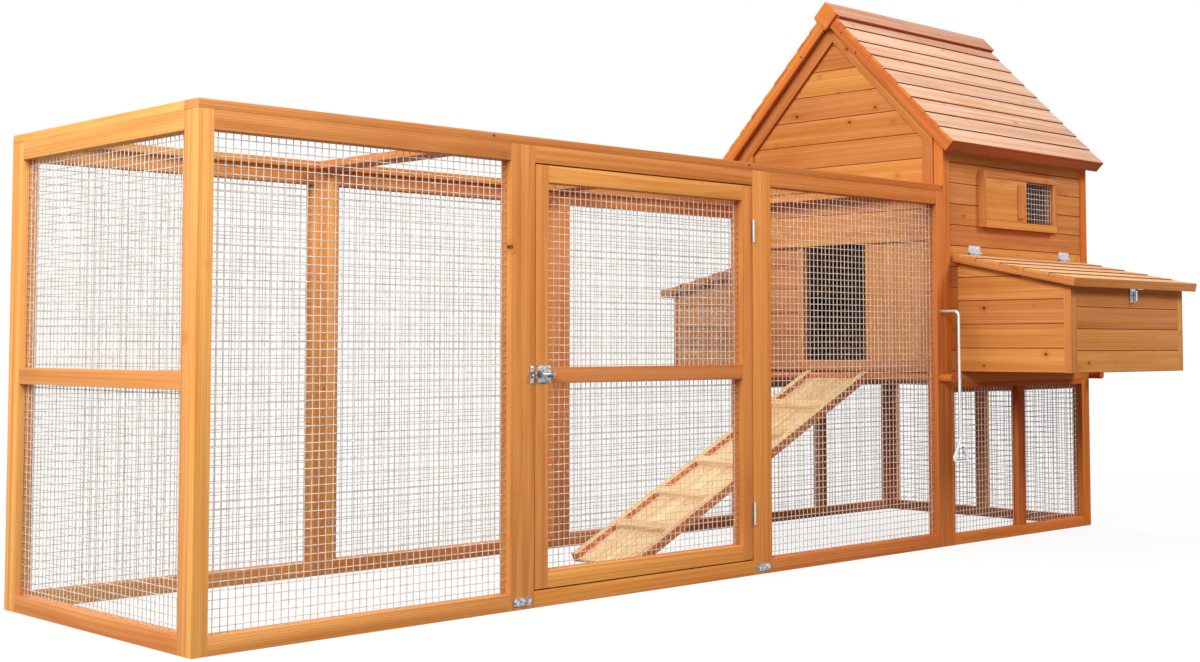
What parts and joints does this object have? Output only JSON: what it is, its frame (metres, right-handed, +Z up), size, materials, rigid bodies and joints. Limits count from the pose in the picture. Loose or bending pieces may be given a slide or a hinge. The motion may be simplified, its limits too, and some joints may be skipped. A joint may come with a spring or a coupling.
{
  "type": "chicken coop with run",
  "caption": "Raised wooden hen house with a gabled slat roof, lidded nest boxes, pop door and ramp, joined to a long framed wire-mesh run with a bolted door.",
  "frame": {"origin": "on the ground, under the middle of the whole outline", "axes": "+X along the run towards the house, +Y from the front (door side) to the back, +Z up"},
  "size_m": [3.128, 1.5208, 1.5683],
  "materials": {
    "stained_timber": "honey stain, satin",
    "stained_boards": "honey stain, satin",
    "roof_timber": "pale stain, matt",
    "zinc_wire": "galvanised",
    "dark_wire": "galvanised, in shade",
    "zinc_hardware": "zinc plated",
    "bright_rod": "bright plated"
  },
  "bodies": {
    "coop": {"end_frame": "stained_timber", "end_mesh": "zinc_wire", "front_frame_1": "stained_timber", "front_frame_2": "stained_timber", "front_frame_3": "stained_timber", "front_mesh_1": "zinc_wire", "front_mesh_3": "zinc_wire", "back_frame_1": "stained_timber", "back_frame_2": "stained_timber", "back_frame_3": "stained_timber", "back_mesh": "zinc_wire", "run_caps": "stained_timber", "run_cross_boards": "stained_timber", "connector_plates": "zinc_hardware", "connector_bolts": "zinc_hardware", "door_hinge_fixed": "zinc_hardware", "bolt_keeper": "zinc_hardware", "house_posts": "stained_timber", "house_rails": "stained_timber", "house_floor": "stained_boards", "front_boards": "stained_boards", "back_boards": "stained_boards", "gable_boards": "stained_boards", "far_boards": "stained_boards", "gable_trim": "stained_boards", "roof_slats_front": "roof_timber", "roof_slats_back": "roof_timber", "barge_boards": "stained_timber", "eave_fascias": "stained_timber", "ridge_cap": "roof_timber", "ridge_blocks": "stained_timber", "underhouse_frames": "stained_timber", "underhouse_mesh": "zinc_wire", "window_frame": "stained_boards", "window_mesh": "dark_wire", "pop_rails": "stained_boards", "support_poles": "stained_timber", "nest_front": "stained_boards", "nest_back": "stained_boards", "lid_hinge_fixed": "zinc_hardware", "latch_plates": "zinc_hardware"},
    "run_door": {"door_frame": "stained_timber", "door_mesh": "zinc_wire", "door_hinge_leaf": "zinc_hardware", "bolt_plate": "zinc_hardware"},
    "door_bolt": {"bolt_bar": "zinc_hardware"},
    "nest_lid_front": {"lid_front": "roof_timber", "lid_front_fittings": "zinc_hardware"},
    "nest_lid_back": {"lid_back": "roof_timber", "lid_back_fittings": "zinc_hardware"},
    "latch_turn_front": {"turn_front": "zinc_hardware"},
    "latch_turn_back": {"turn_back": "zinc_hardware"},
    "window_shutter": {"shutter": "stained_boards"},
    "pop_door": {"pop_door": "stained_boards"},
    "pull_rod": {"pull_rod": "bright_rod"},
    "ramp": {"ramp_rails": "stained_timber", "ramp_deck": "stained_timber"}
  },
  "joints": [
    {"name": "run_door_hinge", "type": "hinge", "parent": "coop", "child": "run_door", "pos_m": [-0.0475, -0.3846, 0.038], "axis": [0, 0, 1], "range_deg": [0, 115]},
    {"name": "door_bolt_slide", "type": "slide", "parent": "run_door", "child": "door_bolt", "axis": [-1, 0, 0], "range_m": [0, 0.018]},
    {"name": "nest_lid_front_hinge", "type": "hinge", "parent": "coop", "child": "nest_lid_front", "pos_m": [1.152, -0.3788, 0.8155], "axis": [-1, 0, 0], "range_deg": [0, 85]},
    {"name": "nest_lid_back_hinge", "type": "hinge", "parent": "coop", "child": "nest_lid_back", "pos_m": [1.152, 0.3788, 0.8155], "axis": [1, 0, 0], "range_deg": [0, 85]},
    {"name": "latch_turn_front_hinge", "type": "hinge", "parent": "coop", "child": "latch_turn_front", "pos_m": [1.168, -0.729, 0.69115], "axis": [0, -1, 0], "range_deg": [0, 90]},
    {"name": "latch_turn_back_hinge", "type": "hinge", "parent": "coop", "child": "latch_turn_back", "pos_m": [1.168, 0.729, 0.69115], "axis": [0, 1, 0], "range_deg": [0, 90]},
    {"name": "window_shutter_slide", "type": "slide", "parent": "coop", "child": "window_shutter", "axis": [1, 0, 0], "range_m": [0, 0.1645]},
    {"name": "pop_door_slide", "type": "slide", "parent": "coop", "child": "pop_door", "axis": [0, 1, 0], "range_m": [0, 0.228]},
    {"name": "pull_rod_swing", "type": "hinge", "parent": "coop", "child": "pull_rod", "pos_m": [0.744, -0.381, 0.648], "axis": [0, 1, 0], "range_deg": [-20, 110]},
    {"name": "ramp_hinge", "type": "hinge", "parent": "coop", "child": "ramp", "pos_m": [0.747, 0, 0.463], "axis": [0, 1, 0], "range_deg": [0, 40]}
  ]
}
